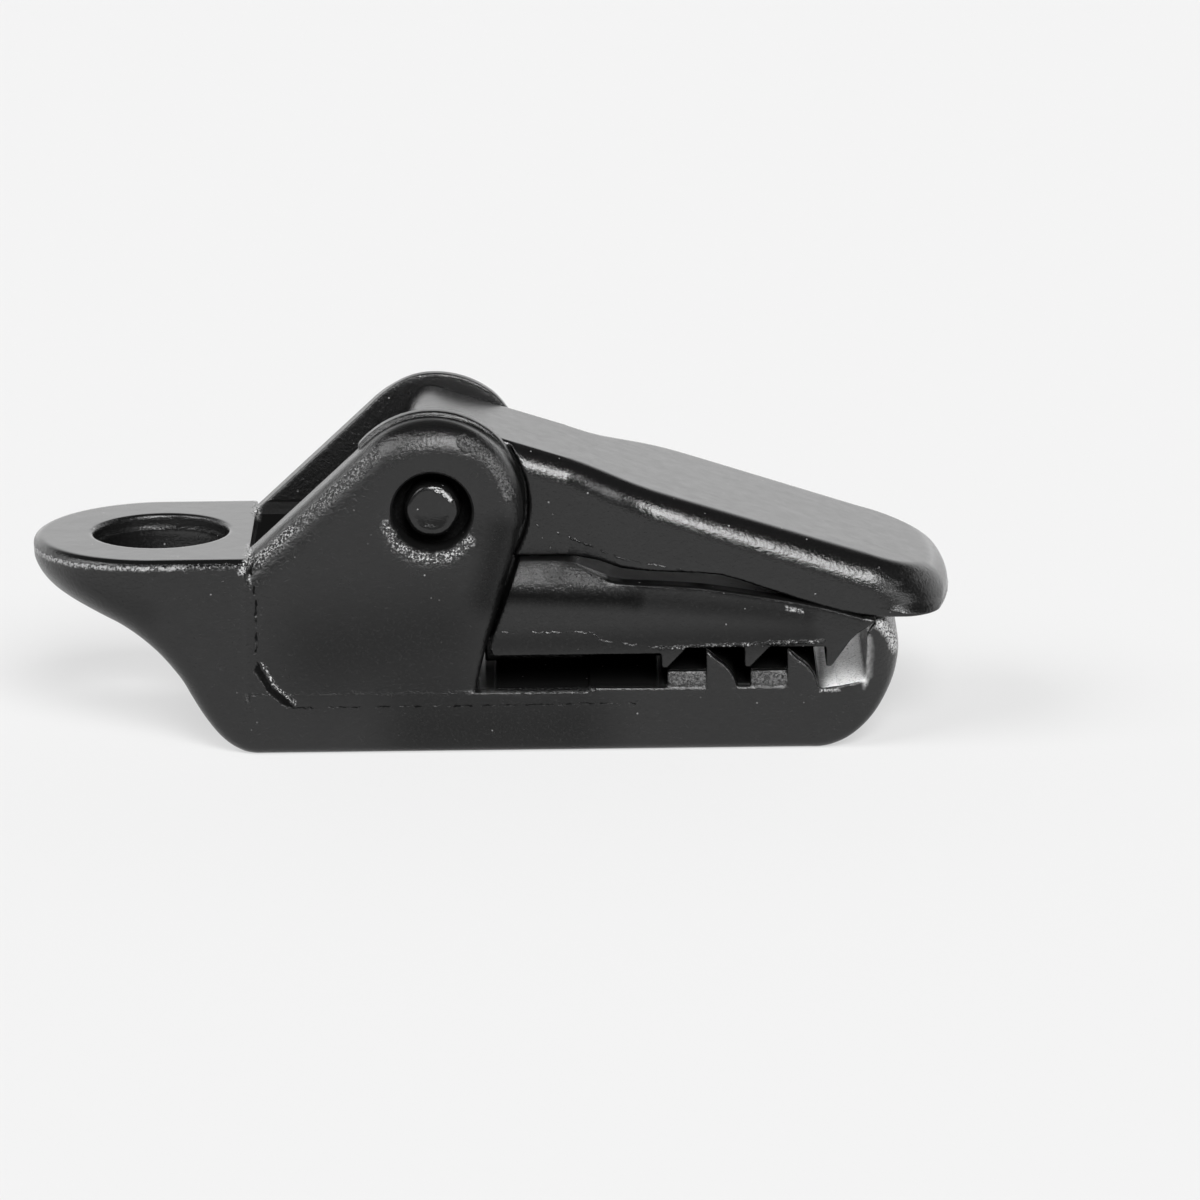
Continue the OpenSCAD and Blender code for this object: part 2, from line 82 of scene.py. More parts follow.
# ---------------------------------------------------------------- distance fields
def field(lo, hi, h):
    """Open 3-D coordinate arrays of a box, in mm."""
    x, y, z = (np.arange(a, b + h, h, dtype=np.float32) for a, b in zip(lo, hi))
    return x[:, None, None], y[None, :, None], z[None, None, :]


def polygon(u, v, pts):
    """Signed distance to a closed polygon in two coordinates, negative inside."""
    pts = np.asarray(pts, np.float32)
    best = np.full(np.broadcast(u, v).shape, 1e9, np.float32)
    inside = np.zeros(best.shape, bool)
    for i in range(len(pts)):
        (ax, ay), (bx, by) = pts[i - 1], pts[i]
        ex, ey = bx - ax, by - ay
        px, py = u - ax, v - ay
        t = np.clip((px * ex + py * ey) / max(ex * ex + ey * ey, 1e-12), 0, 1)
        best = np.minimum(best, (px - ex * t) ** 2 + (py - ey * t) ** 2)
        if ay != by:
            inside ^= ((v >= ay) != (v >= by)) & (u < ax + (v - ay) / (by - ay) * ex)
    d = np.sqrt(best)
    return np.where(inside, -d, d).astype(np.float32)


def prism(x, z, pts):
    """Field of a side-view polygon that runs through the whole width."""
    return polygon(x[:, 0, :], z[:, 0, :], pts)[:, None, :]


def slab(v, lo, hi):
    """Field of a slice between two planes."""
    return np.maximum(lo - v, v - hi)


def both(a, b, r):
    """Intersection whose edge is rounded with radius r."""
    return np.minimum(-r, np.maximum(a, b)) + np.hypot(np.maximum(a + r, 0), np.maximum(b + r, 0))


def either(a, b, r):
    """Union whose inner corner is filled with radius r."""
    return np.maximum(r, np.minimum(a, b)) - np.hypot(np.maximum(r - a, 0), np.maximum(r - b, 0))


def smooth(x, a, b):
    """Soft step from 0 at a to 1 at b."""
    t = np.clip((x - a) / (b - a), 0, 1)
    return t * t * (3 - 2 * t)


def table(v, at, values):
    """Values read off a bent line, in single precision."""
    return np.interp(v, at, values).astype(np.float32)


def arc(cx, cz, r, a0, a1, n):
    """Points on a circle between two angles in degrees."""
    a = np.radians(np.linspace(a0, a1, n))
    return [(cx + r * math.cos(t), cz + r * math.sin(t)) for t in a]


def spline(pts, n=5):
    """Smooth curve through a list of points."""
    p = np.asarray([pts[0], *pts, pts[-1]], float)
    t = np.linspace(0, 1, n, endpoint=False)[:, None]
    out = []
    for a, b, c, d in zip(p, p[1:], p[2:], p[3:]):
        square, cube = 2 * a - 5 * b + 4 * c - d, 3 * b - a - 3 * c + d
        out.append(0.5 * (2 * b + (c - a) * t + square * t ** 2 + cube * t ** 3))
    return [tuple(v) for v in np.concatenate(out)] + [tuple(pts[-1])]


def rounded_plan(x, y, left, right, half, r_left, r_right):
    """Plan outline: a bar with round corners of their own radius at each end."""
    ay = np.abs(y)
    d_left = np.hypot(np.maximum(left + r_left - x, 0), np.maximum(ay - half + r_left, 0)) - r_left
    d_right = np.hypot(np.maximum(x - right + r_right, 0), np.maximum(ay - half + r_right, 0)) - r_right
    box = np.maximum(slab(x, left, right), ay - half)
    d = np.where(x < 0.5 * (left + right), d_left, d_right)
    # deep inside, the corner circles say nothing: the straight sides alone count there
    return np.where((d <= 0) & (box < 0), np.maximum(box, np.where(d > -1.8, d, -9)), d)


# ---------------------------------------------------------------- meshing
def add_object(name, data):
    """New object in the scene."""
    o = bpy.data.objects.new(name, data)
    bpy.context.scene.collection.objects.link(o)
    return o


def sample(f, q):
    """Trilinear sample of a field at grid positions q."""
    i = np.clip(np.floor(q).astype(np.int32), 0, np.array(f.shape) - 2)
    t = (q - i).astype(np.float32)
    out = 0
    for a in (0, 1):
        for b in (0, 1):
            for c in (0, 1):
                w = (np.abs(1 - a - t[:, 0])) * (np.abs(1 - b - t[:, 1])) * (np.abs(1 - c - t[:, 2]))
                out = out + w * f[i[:, 0] + a, i[:, 1] + b, i[:, 2] + c]
    return out


def rise(f, q, reach):
    """Change of a field across each grid position, along the three axes."""
    return np.stack([sample(f, q + reach * e) - sample(f, q - reach * e) for e in np.eye(3)], 1)


def surface_net(f):
    """Grid positions and quads of a field's zero surface, with one corner in each cell that it crosses."""
    shape = np.array(f.shape)
    strides = np.array([shape[1] * shape[2], shape[2], 1])
    ids, pts, quads = [], [], []
    for a in range(3):
        b, c = (a + 1) % 3, (a + 2) % 3
        s0 = [slice(None)] * 3
        s1 = [slice(None)] * 3
        s0[a], s1[a] = slice(None, -1), slice(1, None)
        fa, fb = f[tuple(s0)], f[tuple(s1)]
        crossed = (fa < 0) != (fb < 0)
        idx = np.argwhere(crossed)
        va, vb = fa[crossed], fb[crossed]
        p = idx.astype(np.float64)
        p[:, a] += va / (va - vb)
        eb, ec = np.eye(3, dtype=int)[b], np.eye(3, dtype=int)[c]
        cells = [idx @ strides - (ob * eb + oc * ec) @ strides
                 for ob, oc in ((0, 0), (1, 0), (1, 1), (0, 1))]
        for cell in cells:
            ids.append(cell)
            pts.append(p)
        quad = np.stack(cells, 1)
        flip = va < 0
        quad[flip] = quad[flip][:, ::-1]
        quads.append(quad[:, ::-1])
    ids, pts, quads = np.concatenate(ids), np.concatenate(pts), np.concatenate(quads)
    uniq, inv = np.unique(ids, return_inverse=True)
    count = np.bincount(inv)
    q = np.stack([np.bincount(inv, pts[:, axis]) / count for axis in range(3)], 1)
    return q, np.searchsorted(uniq, quads)


def mesh_field(name, f, lo, h):
    """Surface of a field as a quad mesh with normals from its gradient."""
    f = f.astype(np.float32)
    q, faces = surface_net(f)
    reach = 0.6
    for _ in range(2):  # pull the corners on to the surface
        g = rise(f, q, reach) / (2 * reach * h)
        size = np.maximum(np.linalg.norm(g, axis=1), 0.3)
        q -= np.clip(sample(f, q) / size / h, -0.4, 0.4)[:, None] * (g / size[:, None])
    g = rise(f, q, 0.7)
    normals = g / np.maximum(np.linalg.norm(g, axis=1), 1e-9)[:, None]
    co = (np.array(lo) + q * h) * MM
    mesh = bpy.data.meshes.new(name)
    mesh.vertices.add(len(co))
    mesh.vertices.foreach_set("co", co.astype(np.float32).ravel())
    mesh.loops.add(faces.size)
    mesh.loops.foreach_set("vertex_index", faces.ravel().astype(np.int32))
    mesh.polygons.add(len(faces))
    mesh.polygons.foreach_set("loop_start", np.arange(0, faces.size, 4, dtype=np.int32))
    mesh.update(calc_edges=True)
    mesh.validate()
    mesh.polygons.foreach_set("use_smooth", [True] * len(mesh.polygons))
    if len(mesh.vertices) == len(normals):
        mesh.normals_split_custom_set_from_vertices(normals.astype(np.float32))
    return add_object(name, mesh)


# ---------------------------------------------------------------- body
UNDER = [(-18.2, 6.0), (-17.2, 5.86), (-16.3, 5.68), (-15.5, 5.47), (-14.74, 5.22), (-13.97, 4.92),
         (-13.22, 4.45), (-12.48, 3.79), (-11.74, 2.88), (-11.38, 2.26), (-11.02, 1.64), (-10.65, 1.1),
         (-10.28, 0.66), (-9.9, 0.34), (-9.54, 0.14), (-9.24, 0.04), (-8.9, 0.0)]
FRONT = [(12.4, 0.0), (12.83, 0.07), (13.4, 0.3), (13.97, 0.7), (14.54, 1.27), (14.95, 1.86),
         (15.3, 2.5), (15.5, 3.1), (15.58, 3.6), (15.5, 4.0), (15.25, 4.45), (15.0, 4.82), (14.8, 4.95)]
LIP_INSIDE = [(12.45, 2.36), (13.41, 2.5), (14.2, 2.68), (14.25, 4.22), (14.3, 4.54), (14.63, 4.95),
              (14.8, 4.97)]
EAR_FRONT = [(1.2, 8.6), (1.08, 8.0), (0.92, 7.5), (0.76, 6.95), (0.6, 6.4), (0.42, 5.8), (0.24, 5.2),
             (0.04, 4.6), (-0.18, 3.9), (-0.36, 3.25), (-0.48, 2.75), (-0.54, 2.3), (-0.54, EAR_LOW)]
# bumps of rough flash on the lip: x, z, width, height
LIP_FLASH = [(15.35, 4.35, 0.16, 0.16), (15.5, 3.95, 0.12, 0.2), (15.3, 4.75, 0.14, 0.12),
             (15.6, 3.55, 0.1, 0.16), (15.1, 4.95, 0.14, 0.1), (14.85, 4.5, 0.2, 0.06),
             (15.45, 4.15, 0.09, 0.12), (15.1, 4.2, 0.12, 0.07)]


def lower_tooth(x):
    """Upright face at x, a small flat point and a round back."""
    return [(x, MOUTH_Z), (x, 3.91), (x + 0.25, 3.68)] + arc(x - 0.22, 2.3, 1.37, 60, 8, 8)


def side_top():
    """Everything under the keel's and the lower jaw's top line."""
    pts = [(-19, PLATE_Z), (X_ROOT, PLATE_Z), (X_ROOT, 2.37), (3.74, 2.37), (3.74, 2.5), (6.6, MOUTH_Z)]
    for x in LOWER_TEETH:
        pts += lower_tooth(x)
    return pts + LIP_INSIDE + [(16.5, 4.97), (16.5, -2), (-19, -2)]


def side_bottom():
    """Everything above the keel's underside and behind the lip's front."""
    return spline(UNDER) + spline(FRONT) + [(14.6, 9.5), (-19, 9.5)]


def ear_side():
    """Ear from its sloping rear edge round the head to its front edge."""
    tx, tz = PX - HEAD_R * math.sin(SLANT), PZ + HEAD_R * math.cos(SLANT)
    rear = [(EAR_BACK, EAR_LOW), (EAR_BACK, tz + (EAR_BACK - tx) * math.tan(SLANT))]
    return rear + arc(PX, PZ, HEAD_R, 90 + math.degrees(SLANT), -12, 36) + EAR_FRONT


def build_ears(x, y, z):
    """Both ears with the brow round the hub."""
    ay = np.abs(y)
    low = np.interp(z, [2.4, 3.0, 4.5, 6.5, 9.3], [0.06, 0.2, 0.5, 0.7, 0.9])
    r_ear = low + (1.2 - low) * (1 - smooth(x, PX - 0.5, PX + 2.5))
    ear = both(prism(x, z, ear_side()), ay - EAR_OUT, r_ear.astype(np.float32))
    ear = both(ear, EAR_IN - ay, 0.07)
    angle = np.degrees(np.arctan2(z - PZ, x - PX))
    # on the far side the brow sinks into the head's rear, and on both a little at its front
    fade = (BROW_R - HEAD_R) * smooth(angle, 95, 140) * (y > 0) + 0.1 * smooth(angle, 55, 25)
    brow = both(np.hypot(x - PX, z - PZ) - BROW_R + fade, ay - (EAR_IN + BROW_T), 0.13)
    brow = np.maximum(brow, EAR_IN - ay)
    brow = np.maximum(brow, (angle - BROW_TO) * DEGREE * BROW_ARM)
    brow = np.maximum(brow, (BROW_FROM - angle) * DEGREE * BROW_ARM)
    return either(ear, brow, 0.06)


def build_body(h):
    lo, hi = (-17.9, -5.3, -0.4), (16.0, 5.3, 13.4)
    x, y, z = field(lo, hi, h)
    ay = np.abs(y)
    plan = rounded_plan(x[:, :, 0], y[:, :, 0], X_TAIL, X_LIP, HALF, HALF, 2.0)[:, :, None]
    r_top = np.where(x < X_ROOT, 0.38, 0.05).astype(np.float32)
    r_low = table(x, [-17.5, -15, -11, -9, 12, 15], [1.3, 1.1, 0.7, 0.42, 0.42, 0.3])
    d = both(prism(x, z, side_top()), plan, r_top)
    d = np.maximum(d, both(prism(x, z, side_bottom()), plan, r_low))
    # bevelled pads in the valleys
    slope = (ay - (HALF - 0.05) + 0.25 * (z - (MOUTH_Z + 0.02))) * 0.97
    for start, tooth in zip(PAD_STARTS, LOWER_TEETH):
        tall = np.maximum(MOUTH_Z - 0.4 - z, z - MOUTH_Z - 0.6)
        pad = np.maximum(np.maximum(slab(x, start, tooth + 0.05), tall), slope)
        d = np.minimum(d, np.maximum(pad, ay - HALF + 0.03))
    # rough flash left on the lip's outer corner
    flash = sum(a * np.exp(-(((x - u) / w) ** 2 + ((z - v) / w) ** 2)) for u, v, w, a in LIP_FLASH)
    d = d - flash * smooth(ay, 3.2, 4.4)
    d = either(d, build_ears(x, y, z), 0.09)
    # block that carries the upper jaw's root, and the root's socket
    block = prism(x, z, [(X_ROOT - 0.5, 1.4), (X_ROOT - 0.5, 7.47), (HX, 7.47), (HX + 0.68, 7.1),
                         (HX + 1, 4.35), (HX + 1.75, 1.4)])
    d = np.minimum(d, np.maximum(block, ay - EAR_IN - 0.4))
    mouth = prism(x, z, [(HX, HZ), (HX + 3, HZ + 2.9), (HX + 3, HZ - 3.7)])
    socket = np.minimum(np.hypot(x - HX, z - HZ) - ROOT_R - 0.05, mouth)
    d = np.maximum(d, -np.maximum(socket, ay - EAR_IN))
    # eyelet hole with a soft rim and a faint parting ridge inside
    ridge = 0.06 * np.exp(-((z - (PLATE_Z - 0.62)) / 0.12) ** 2)
    hole = np.hypot(x - X_EYE, y) - (EYE_R - ridge + np.clip((5.4 - z) * 0.07, 0, 0.45))
    d = both(d, -hole, np.where(z > 6, 0.16, 0.1))
    # dished recess round the pin, and the bore in the ear
    rad = np.hypot(x - PX, z - PZ)
    dish = (rad - RECESS_R - 2.1 * (ay - 4.67)) * 0.43
    recess = np.maximum(np.minimum(rad - RECESS_R, either(rad - RECESS_R, dish, 0.02)), 3.35 - ay)
    d = both(d, -recess, np.where(ay > 4.3, 0.12, 0.02))
    d = np.maximum(d, -np.maximum(rad - PIN_R - 0.03, 2.6 - ay))
    return mesh_field("shell", d, lo, h)


# ---------------------------------------------------------------- upper jaw
JAW_TOP = [(-0.6, 7.24), (2.7, 7.24), (3.5, 7.03), (4.3, 6.72), (5.1, 6.52), (8.0, 6.32),
           (11.34, 5.78), (12.85, 5.45), (14.1, 5.1), (14.62, 5.0)]
# stiffening webs on the middle plane: x from, x to, lowest z
WEBS = [(-0.26, 3.6, 2.42), (3.5, 6.6, 2.55), (6.62, 7.96, 3.18), (9.68, 11.02, 3.18)]


def jaw_side():
    """Toothed underside, hooked nose and stepped top."""
    half_tooth, tooth, hook = UPPER_TEETH
    pts = [(0.1, JAW_LOW), (6.2, 3.77), (half_tooth, 3.78)]
    for x, valley in ((half_tooth, None), (tooth, 1.7), (hook, 1.3)):
        if valley:
            pts += [(x - valley, 3.98), (x, 3.98)]
        pts += [(x, TOOTH_LOW), (x + 0.22, TOOTH_LOW), (x + 0.98, 4.0)]
    pts = pts[:-1] + [(13.62, 4.2), (13.9, 4.47), (14.44, 4.83), (14.66, 4.97)]
    return pts + spline(JAW_TOP)[::-1]


def build_jaw(h):
    lo, hi = (-8.7, -5.3, 2.3), (15.2, 5.3, 7.6)
    x, y, z = field(lo, hi, h)
    ay = np.abs(y)
    r_edge = np.where(z > 4.9, np.interp(x, [3.0, 5.0], [0.3, 0.03]), 0.05).astype(np.float32)
    # the flanks lean in towards the top
    start = np.interp(x, [0, 3.5, 6.5, 12, 14], [5.93, 5.9, 5.35, 4.75, 4.4])
    lean = np.interp(x, [3.5, 6.0], [0.27, 0.06]) * np.maximum(z - start, 0) ** 2
    wide = both(prism(x, z, jaw_side()), (ay - (HALF - 0.04 - lean)) * 0.93, r_edge)
    # rear face along the ear's front edge: clear of it at the bottom, and more so higher up, for the lift
    rear = -0.6 + (z - MOUTH_Z) * math.tan(FRONT_RAKE) + 0.08 + 0.085 * (z - JAW_LOW)
    wide = np.maximum(wide, both(ay - 2.0 - HALF, (rear - x) * math.cos(FRONT_RAKE), 0.12))
    arm = prism(x, z, [(3.0, 7.24), (3.0, JAW_LOW), (HX + 3.2, JAW_LOW), (HX + 0.8, HZ - 0.85),
                       (HX, HZ - 0.5), (HX, HZ + 0.9), (HX + 0.75, HZ + 0.6), (HX + 2.2, 7.24)])
    arm = both(arm, ay - ARM_HALF, 0.12)
    root = both(np.hypot(x - HX, z - HZ) - ROOT_R, ay - ARM_HALF, 0.08)
    d = np.minimum(np.minimum(wide, arm), root)
    for x0, x1, z0 in WEBS:
        d = np.minimum(d, np.maximum(np.maximum(slab(x, x0, x1), slab(z, z0, 4.2)), ay - 0.6))
    return mesh_field("tongue", d, lo, h)


# ---------------------------------------------------------------- lever and pin
SOLE = [(-2.2, 7.3), (2.7, 7.3), (3.3, 7.26), (4.2, 7.16), (4.95, 6.97), (7.96, 6.84), (8.72, 6.76),
        (9.47, 6.55), (10.22, 6.28), (10.98, 6.02), (11.73, 5.74), (12.48, 5.47), (13.2, 5.25),
        (13.9, 5.12), (14.75, 5.05), (19, 5.03)]
PADDLE_HALF = 4.72
NECK_X = [3.0, 3.6, 4.3, 5.0, 5.6, 6.2, 7.4]
NECK_HALF = [3.45, 3.64, 3.98, 4.34, 4.56, 4.68, PADDLE_HALF]
# pin's end from its middle outwards: radius, depth under the end plane
PIN_PROFILE = [(0.0, 0.10), (0.35, 0.09), (0.62, 0.04), (0.72, 0.0), (0.84, 0.0), (0.94, 0.05),
               (1.01, 0.13), (PIN_R, 0.26), (PIN_R, 1.5)]
PIN_SIDES = 96


def crown(x):
    """Height of the lever's top plane."""
    return TIP_Z + (X_TIP - x) * math.tan(RAKE)


def cam_outline():
    """Hub: a spiral cam below the pivot, a round rear corner, and the neck's root."""
    pts, parts = [], 28
    fall = (CAM_SHUT - CAM_OPEN) / SWING_DEG
    turn = -fall * 180 / math.pi
    for i in range(parts + 1):
        b = SWING_DEG * i / parts
        s, c = math.sin(math.radians(b)), math.cos(math.radians(b))
        reach = CAM_SHUT - fall * b
        pts.append((PX - reach * s - turn * c, PZ - reach * c + turn * s))
    back, up = CAM_OPEN - CROWN_R, CROWN_H - CROWN_R
    cx = PX - back * math.cos(RAKE) + up * math.sin(RAKE)
    cz = PZ + back * math.sin(RAKE) + up * math.cos(RAKE)
    pts += arc(cx, cz, CROWN_R, 180 - RAKE_DEG, 90 - RAKE_DEG, 12)
    return pts + [(3.0, crown(3.0)), (3.0, 7.3)]


def build_lever(h):
    lo, hi = (-4.4, -5.2, 4.6), (17.9, 5.2, 13.2)
    x, y, z = field(lo, hi, h)
    ay = np.abs(y)
    # plan: waisted neck, which starts a little later on the far side, and a rounded tip
    half = table(x - 0.8 * (y > 0), NECK_X, NECK_HALF)
    grade = table(x, [2.9, 3.2, 4.3, 5.4, 7.4], [1.0, 0.95, 0.87, 0.93, 1.0])
    tip = x - (X_TIP - 0.75 * (y / PADDLE_HALF) ** 2)
    plan = both((ay - half) * grade, tip, table(z, [5.1, 5.5, 6.2], [1.2, 1.9, 2.5]))
    plan = np.maximum(plan, -0.3 - x)
    plane = (z - crown(x)) * math.cos(RAKE)
    d = both(plane, plan, table(x, [3, 6, 14.2, 17.5], [0.95, 1.02, 1.22, 0.8]))
    # faint parting line round the tip
    line = np.interp(x, [4, 12, 15.7, 17], [7.4, 5.9, 5.2, 5.28])
    d = d - 0.035 * np.exp(-((z - line) / 0.05) ** 2) * smooth(x, 14.0, 16.0)
    sole = prism(x, z, SOLE + [(19, 14), (-2.2, 14)])
    d = both(d, sole, table(x, [2, 5, 14, 16], [0.12, 0.22, 0.2, 0.12]))
    # room for the brow
    d = both(d, -(np.hypot(x - PX, z - PZ) - 3.66), 0.05)
    edge = np.where(z - crown(x) > -1.6, 0.16, 0.1).astype(np.float32)
    d = np.minimum(d, both(prism(x, z, cam_outline()), ay - ARM_HALF, edge))
    return mesh_field("paddle", d, lo, h)


def build_pin():
    """Lathed round pin along Y with a shallow dished, slightly uneven end."""
    verts, faces, n = [], [], PIN_SIDES
    rings = PIN_PROFILE + [(r, 2 * PIN_END - d) for r, d in PIN_PROFILE[::-1]]
    for r, d in rings:
        for i in range(n):
            a = 2 * math.pi * i / n
            rr = max(r, 0.002) * (1 + 0.012 * math.cos(6 * a + 0.4) * (r > 0.5))
            x, y, z = PX + rr * math.cos(a), -PIN_END + d, PZ + rr * math.sin(a)
            verts.append((x * MM, y * MM, z * MM))
    for j in range(len(rings) - 1):
        for i in range(n):
            after_i = (i + 1) % n
            faces.append((j * n + i, j * n + after_i, (j + 1) * n + after_i, (j + 1) * n + i))
    faces.append(tuple(range(n))[::-1])
    faces.append(tuple((len(rings) - 1) * n + i for i in range(n)))
    mesh = bpy.data.meshes.new("pin_rod")
    mesh.from_pydata(verts, [], faces)
    mesh.polygons.foreach_set("use_smooth", [True] * len(mesh.polygons))
    return add_object("pin_rod", mesh)


# ---------------------------------------------------------------- materials
class Nodes:
    """Short calls for building one node tree."""

    def __init__(self, tree):
        self.tree = tree
        tree.nodes.clear()

    def put(self, node, key, v):
        """Link a socket, or set a value, at an input given by name or number."""
        socket = node.inputs[key]
        if isinstance(v, bpy.types.NodeSocket):
            self.tree.links.new(v, socket)
        else:
            socket.default_value = v

    def add(self, kind, **inputs):
        node = self.tree.nodes.new(kind)
        for key, v in inputs.items():
            self.put(node, key, v)
        return node

    def end(self, kind, shader):
        """Output node of the tree."""
        self.put(self.add(kind), "Surface", shader.outputs[0])

    def math(self, op, a, b=0.0, c=0.0):
        node = self.add("ShaderNodeMath")
        node.operation = op
        for i, v in enumerate((a, b, c)):
            self.put(node, i, v)
        return node.outputs[0]

    def mul(self, first, *rest):
        for v in rest:
            first = self.math("MULTIPLY", first, v)
        return first

    def most(self, a, b):
        return self.math("MAXIMUM", a, b)

    def less(self, v, mask, amount):
        """A value that loses a share of itself under a mask."""
        return self.mul(v, self.math("MULTIPLY_ADD", mask, -amount, 1.0))

    def vec(self, op, a, b=(0, 0, 0)):
        node = self.add("ShaderNodeVectorMath")
        node.operation = op
        self.put(node, 0, a)
        self.put(node, 1, b)
        return node.outputs["Value" if op in ("DOT_PRODUCT", "DISTANCE") else "Vector"]

    def step(self, v, a, b, lo=0.0, hi=1.0):
        """Soft step from lo at a to hi at b."""
        node = self.add("ShaderNodeMapRange", Value=v)
        node.interpolation_type = "SMOOTHSTEP"
        for key, w in (("From Min", a), ("From Max", b), ("To Min", lo), ("To Max", hi)):
            node.inputs[key].default_value = w
        return node.outputs["Result"]

    def noise(self, vector, scale, detail=2.0, rough=0.5, colour=False):
        node = self.add("ShaderNodeTexNoise", Vector=vector, Scale=scale, Detail=detail, Roughness=rough)
        return node.outputs[1 if colour else 0]

    def path(self, p, pts):
        """Distance in the side view, in mm, to a line through points (x, z)."""
        flat = self.vec("MULTIPLY", p, (1, 0, 1))
        best = None
        for (ax, az), (bx, bz) in zip(pts, pts[1:]):
            ex, ez = bx - ax, bz - az
            size = ex * ex + ez * ez
            rel = self.vec("SUBTRACT", flat, (ax, 0, az))
            t = self.vec("DOT_PRODUCT", rel, (ex / size, 0, ez / size))
            t = self.math("MINIMUM", self.most(t, 0.0), 1.0)
            along = self.add("ShaderNodeCombineXYZ", X=self.mul(t, ex), Z=self.mul(t, ez))
            d = self.vec("DISTANCE", rel, along.outputs[0])
            best = d if best is None else self.math("MINIMUM", best, d)
        return best


GLOSS = 0.5  # specular level of clean plastic
PALE_DUST_AND_HIGHLIGHT = 0.75  # grey of stressed plastic and dust, and of painted highlights, glints and reflections
WOBBLE = 0.2  # how far the marks' lines stray, mm


def plastic(name, base, rough, grain, cracks=(), fins=(), pale=(), inner_highlight=(), shine=(), painted_shade=(),
            shade=(), skin=4.3):
    """Black moulded plastic: textured sides, smooth tops, and marks laid along lines of the side view.

    Each mark starts with its points (x, z) and a width or radius in mm, and is softer towards its edge.
    cracks: dark seams. The thin ones are broken up.
    fins: raised lines, with their height.
    pale, inner_highlight: pale speckled marks on the outer skin or inside it, with their strength and how
    much they cover. Most are painted highlights, glints and reflections; the rest are flash and stress
    marks.
    painted_shade: painted shade, black patches where hollows and gaps lie in shade, with the |y| that it
    reaches or 0 for the whole width.
    shade: broad patches of less gloss on the outer skin, with the share that is lost.
    shine: smoother boxes, as x from, x to, z from, z to, least upward normal, and the roughness lost.
    skin: |y| from which a point counts as outer skin.
    """
    mat = bpy.data.materials.new(name)
    mat.use_nodes = True
    k = Nodes(mat.node_tree)
    coord = k.add("ShaderNodeTexCoord")
    mm = k.vec("MULTIPLY", coord.outputs["Object"], (1 / MM, 1 / MM, 1 / MM))
    x, y, z = k.add("ShaderNodeSeparateXYZ", Vector=mm).outputs
    up = k.add("ShaderNodeSeparateXYZ", Vector=coord.outputs["Normal"]).outputs["Z"]
    side = k.step(up, 0.93, 0.7)

    # outer skin: the flanks, the lug's rim and the lip's front
    wide = k.math("ABSOLUTE", y)
    from_eye = k.vec("MULTIPLY", k.vec("SUBTRACT", mm, (X_EYE, 0, 0)), (1, 1, 0))
    from_eye = k.math("SQRT", k.vec("DOT_PRODUCT", from_eye, from_eye))
    rim = k.mul(k.step(from_eye, 4.0, 4.3), k.step(x, -8.8, -9.1))
    outer = k.most(k.most(k.step(wide, skin - 0.1, skin + 0.1), rim), k.step(x, 14.4, 14.6))
    inner = k.step(wide, 4.86, 4.8)

    broken = k.step(k.noise(mm, 2.6, 2.0, 0.5), 0.42, 0.6)
    fine = k.noise(mm, 8.0, 3.0, 0.65)
    spots = k.noise(mm, 11.0, 3.0, 0.65)
    shaken = k.vec("MULTIPLY", k.noise(mm, 5.0, 3.0, colour=True), (WOBBLE, WOBBLE, WOBBLE))
    shaken = k.vec("ADD", mm, k.vec("SUBTRACT", shaken, (WOBBLE / 2, WOBBLE / 2, WOBBLE / 2)))

    # grain and waves, rare specks, and dust on the sides
    height = k.math("ADD", k.mul(fine, k.math("MULTIPLY_ADD", side, grain, 0.002)),
                    k.mul(k.noise(mm, 0.6, 2.0, 0.5), 0.012))
    cell = k.add("ShaderNodeTexVoronoi", Vector=mm, Scale=1.9).outputs["Distance"]
    dust_and_highlights = k.mul(k.step(cell, 0.085, 0.04), k.step(k.noise(mm, 0.8), 0.5, 0.6), 0.3)
    dust_and_highlights = k.most(dust_and_highlights, k.mul(k.step(k.noise(mm, 9.0, 3.0, 0.75), 0.45, 0.75), k.mul(side, 0.008)))

    dark = 0.0
    for pts, width in cracks:
        near = k.step(k.path(shaken, pts), width, width * 0.4)
        if width < 0.1:
            near = k.mul(near, broken)
        dark = k.most(dark, near)
    # painted shade: black where hollows and gaps lie in shade
    for pts, radius, depth in painted_shade:
        near = k.step(k.path(mm, pts), radius, radius - 0.12)
        if depth:
            near = k.mul(near, k.step(wide, depth, depth - 0.1))
        dark = k.most(dark, near)
    for pts, width, tall in fins:
        near = k.mul(k.step(k.path(shaken, pts), width, 0.0), broken)
        height = k.math("MULTIPLY_ADD", near, tall, height)
    # pale marks: painted highlights, glints and reflections, with some flash and stress marks
    for marks, where in ((pale, outer), (inner_highlight, inner)):
        for pts, width, amount, cover in marks:
            near = k.mul(k.step(k.path(shaken, pts), width, width * 0.3), where)
            speckle = k.step(spots, 0.6 - 0.2 * cover, 0.76 - 0.2 * cover)
            dust_and_highlights = k.most(dust_and_highlights, k.mul(near, speckle, amount))
            height = k.math("MULTIPLY_ADD", k.mul(near, fine), 0.1, height)
    height = k.math("MULTIPLY_ADD", dark, -0.06, height)

    r = k.math("ADD", rough - 0.06, k.mul(k.noise(mm, 1.9, 4.0, 0.6), 0.12))
    r = k.math("MULTIPLY_ADD", dark, 0.6, r)
    r = k.math("ADD", r, k.step(up, 0.8, 0.93, 0.0, 0.08))
    for x0, x1, z0, z1, lowest, amount in shine:
        box = k.mul(k.step(x, x0, x0 + 0.3), k.step(x, x1, x1 - 0.3), k.step(z, z0, z0 + 0.1),
                    k.step(z, z1, z1 - 0.1), k.step(up, lowest, lowest + 0.2))
        r = k.less(r, box, amount)
    gloss = k.math("MULTIPLY_ADD", dark, -GLOSS, GLOSS)
    for pts, width, amount in shade:
        gloss = k.less(gloss, k.mul(k.step(k.path(mm, pts), width, 0.0), outer), amount)

